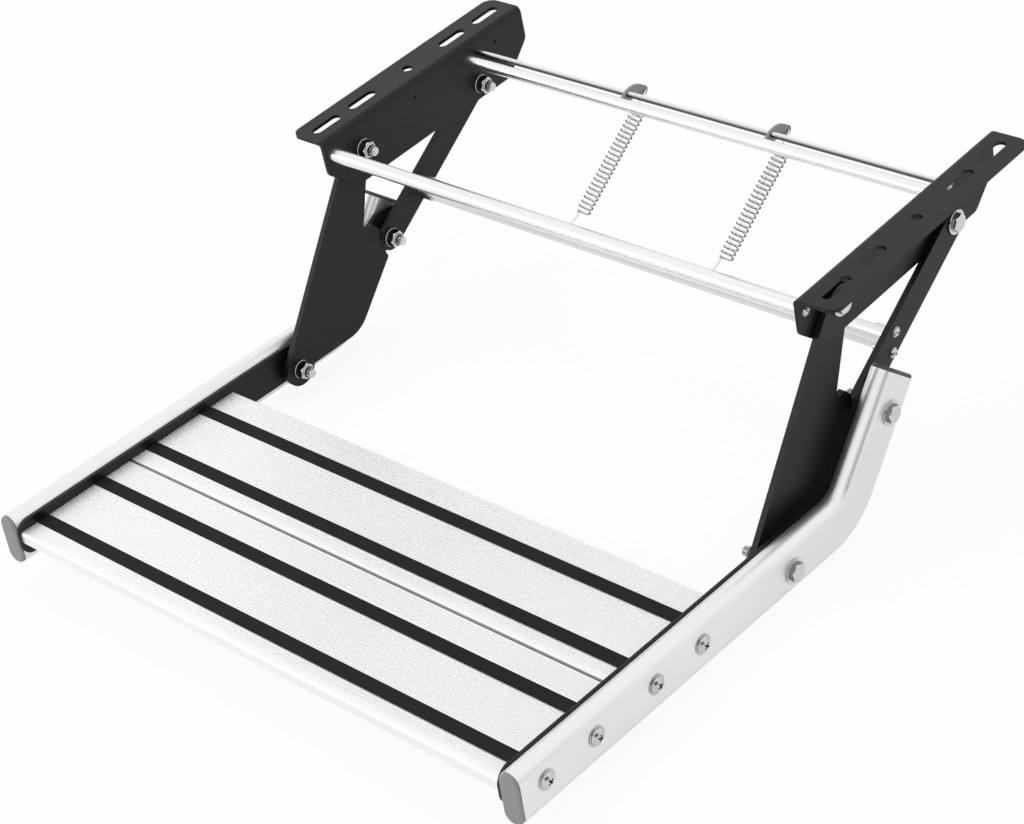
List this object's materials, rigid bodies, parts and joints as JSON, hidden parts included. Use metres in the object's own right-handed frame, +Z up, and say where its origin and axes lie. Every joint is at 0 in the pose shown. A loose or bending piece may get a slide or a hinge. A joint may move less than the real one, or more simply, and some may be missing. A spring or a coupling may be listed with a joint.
{
  "type": "caravan entry step",
  "caption": "Fold-under entry step: angle brackets with slotted flanges, pivoting links, bent arms, ribbed tread planks with grip strips, and tension springs that hold it out or stowed.",
  "frame": {"origin": "on the mounting face, midway between the round centre holes of the two flanges", "axes": "+X to the right seen from the front, +Y back under the floor, +Z up into the floor"},
  "size_m": [0.5634, 0.6287, 0.2038],
  "materials": {
    "black_sheet": "satin black coating on bent sheet",
    "black_link": "satin black coating on flat plate",
    "black_plate": "satin black coating on flat plate",
    "silver_arm": "silver anodised extrusion",
    "tread_aluminium": "ribbed mill extrusion",
    "grip_strip": "matt black grip insert",
    "end_cap": "moulded grey",
    "cross_tube": "bright plated bar",
    "link_bar": "plain extrusion",
    "anchor_plate": "dark grey plate",
    "spring_wire": "drawn wire",
    "plated_fastener": "bright zinc plating",
    "nylon_spacer": "nylon"
  },
  "bodies": {
    "frame": {"left_bracket": "black_sheet", "right_bracket": "black_sheet", "front_tube": "cross_tube", "upper_tube": "cross_tube", "anchor_rod": "cross_tube", "tube_screws": "plated_fastener", "left_anchor": "anchor_plate", "right_anchor": "anchor_plate", "bracket_bolts": "plated_fastener", "bracket_washers": "plated_fastener", "bracket_nuts": "plated_fastener", "bracket_spacers": "nylon_spacer"},
    "rear_links": {"left_rear_link": "black_link", "right_rear_link": "black_link", "link_crossbar": "link_bar", "crossbar_screws": "plated_fastener"},
    "front_links": {"left_front_link": "black_link", "right_front_link": "black_link", "lower_bolt_ends": "plated_fastener", "lower_nut_washers": "plated_fastener", "lower_nuts": "plated_fastener", "lower_spacers": "nylon_spacer"},
    "step": {"left_arm": "silver_arm", "right_arm": "silver_arm", "left_plate": "black_plate", "right_plate": "black_plate", "left_front_cap": "end_cap", "right_front_cap": "end_cap", "left_top_cap": "end_cap", "right_top_cap": "end_cap", "front_plank": "tread_aluminium", "rear_plank": "tread_aluminium", "front_plank_strip_1": "grip_strip", "front_plank_strip_2": "grip_strip", "rear_plank_strip_1": "grip_strip", "rear_plank_strip_2": "grip_strip", "tread_screws": "plated_fastener", "upper_bolts": "plated_fastener", "upper_washers": "plated_fastener", "upper_nuts": "plated_fastener", "upper_spacers": "nylon_spacer", "lower_bolts": "plated_fastener", "lower_head_washers": "plated_fastener"},
    "springs": {"left_spring": "spring_wire", "right_spring": "spring_wire"}
  },
  "joints": [
    {"name": "fold", "type": "hinge", "parent": "frame", "child": "rear_links", "pos_m": [0, 0.0615, -0.0435], "axis": [1, 0, 0], "range_deg": [0, 120], "stiffness_Nm_per_rad": 8, "springref_deg": -57.3},
    {"name": "front_swing", "type": "hinge", "parent": "frame", "child": "front_links", "pos_m": [0, -0.083, -0.0275], "axis": [1, 0, 0], "range_deg": [0, 86.31]},
    {"name": "step_swing", "type": "hinge", "parent": "rear_links", "child": "step", "pos_m": [0, -0.07337, -0.12445], "axis": [1, 0, 0], "range_deg": [-128.21, 0]},
    {"name": "spring_swing", "type": "hinge", "parent": "frame", "child": "springs", "pos_m": [0, 0.0845, -0.0205], "axis": [1, 0, 0], "range_deg": [0, 94.52], "deforming": ["left_spring", "right_spring"]}
  ],
  "couplings": [
    {"joint": "front_swing", "follows": "fold", "ratio": 0.71915},
    {"joint": "step_swing", "follows": "fold", "ratio": -1.0683},
    {"joint": "spring_swing", "follows": "fold", "ratio": 0.78758}
  ]
}
